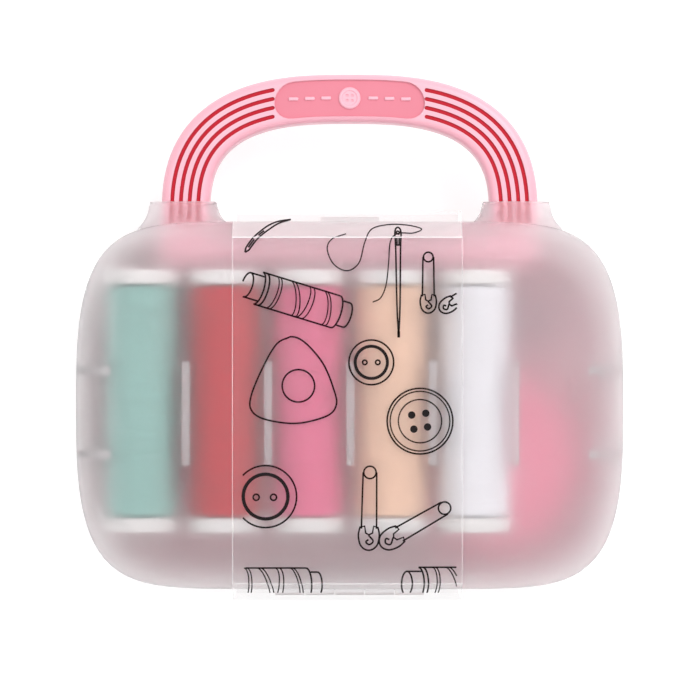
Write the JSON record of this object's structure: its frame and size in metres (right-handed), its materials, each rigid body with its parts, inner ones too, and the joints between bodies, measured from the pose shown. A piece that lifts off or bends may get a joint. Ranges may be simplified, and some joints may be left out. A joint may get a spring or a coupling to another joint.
{
  "type": "sewing box",
  "caption": "Translucent clamshell sewing box with a pink carrying handle, thread spools held in the hinged front, a tool tray in the back and a clear sleeve round it.",
  "frame": {"origin": "bottom centre of the bounding box, with the box lying on its back", "axes": "+Z out of the front face, +Y towards the handle, +X across to the right seen from the front"},
  "size_m": [0.1498, 0.1446, 0.0452],
  "materials": {
    "frosted_shell": "translucent frosted polypropylene, satin inside and out",
    "handle_pink": "satin moulded plastic, pale pink",
    "handle_red": "satin moulded plastic, red",
    "spool_white": "moulded white plastic",
    "mint_thread": "wound sewing thread, mint green",
    "red_thread": "wound sewing thread, red",
    "rose_thread": "wound sewing thread, rose pink",
    "beige_thread": "wound sewing thread, beige",
    "white_thread": "wound sewing thread, white",
    "tray_pink": "translucent moulded plastic with a pink tint",
    "tool_pink": "glossy moulded plastic, strong pink",
    "tape_white": "coated measuring tape, off-white",
    "tool_steel": "polished and ground steel",
    "needle_tube_clear": "clear moulded plastic",
    "clear_film": "clear printed film with sharp creases"
  },
  "bodies": {
    "box": {"back_shell": "frosted_shell", "hinge_pin": "tool_steel", "handle_front_cover": "handle_pink", "handle_back_cover": "handle_pink", "handle_core": "handle_red", "tool_tray": "tray_pink", "tape_case_back": "tool_pink", "tape_case_front": "tool_pink", "tape_reel": "tape_white", "tape_strip": "tape_white", "tape_end_tab": "tool_steel", "scissors_lower_blade": "tool_steel", "scissors_lower_bow": "tool_pink", "scissors_rivet": "tool_steel", "needle_tube": "needle_tube_clear", "needle_tube_cap": "tool_pink", "needle_1": "tool_steel", "needle_2": "tool_steel", "needle_3": "tool_steel", "display_sleeve": "clear_film"},
    "lid": {"front_shell": "frosted_shell"},
    "mint_spool": {"mint_spool_core": "spool_white", "mint_thread": "mint_thread"},
    "red_spool": {"red_spool_core": "spool_white", "red_thread": "red_thread"},
    "rose_spool": {"rose_spool_core": "spool_white", "rose_thread": "rose_thread"},
    "beige_spool": {"beige_spool_core": "spool_white", "beige_thread": "beige_thread"},
    "white_spool": {"white_spool_core": "spool_white", "white_thread": "white_thread"},
    "scissors_lever": {"scissors_upper_blade": "tool_steel", "scissors_upper_bow": "tool_pink"},
    "tape_release": {"tape_button": "spool_white"}
  },
  "joints": [
    {"name": "lid_hinge", "type": "hinge", "parent": "box", "child": "lid", "pos_m": [0, -0.0695, 0.0226], "axis": [1, 0, 0], "range_deg": [0, 180], "deforming": ["display_sleeve"]},
    {"name": "mint_spool_spin", "type": "hinge", "parent": "lid", "child": "mint_spool", "pos_m": [-0.05675, -0.01765, 0.0324], "axis": [0, 1, 0], "continuous": true},
    {"name": "red_spool_spin", "type": "hinge", "parent": "lid", "child": "red_spool", "pos_m": [-0.03405, -0.01765, 0.0324], "axis": [0, 1, 0], "continuous": true},
    {"name": "rose_spool_spin", "type": "hinge", "parent": "lid", "child": "rose_spool", "pos_m": [-0.01135, -0.01765, 0.0324], "axis": [0, 1, 0], "continuous": true},
    {"name": "beige_spool_spin", "type": "hinge", "parent": "lid", "child": "beige_spool", "pos_m": [0.01135, -0.01765, 0.0324], "axis": [0, 1, 0], "continuous": true},
    {"name": "white_spool_spin", "type": "hinge", "parent": "lid", "child": "white_spool", "pos_m": [0.03405, -0.01765, 0.0324], "axis": [0, 1, 0], "continuous": true},
    {"name": "scissors_pivot", "type": "hinge", "parent": "box", "child": "scissors_lever", "pos_m": [-0.033, -0.0159, 0.0054], "axis": [0, 0, 1], "range_deg": [0, 40]},
    {"name": "tape_button_press", "type": "slide", "parent": "box", "child": "tape_release", "axis": [0, 0, -1], "range_m": [0, 0.0011], "stiffness_N_per_m": 300}
  ]
}
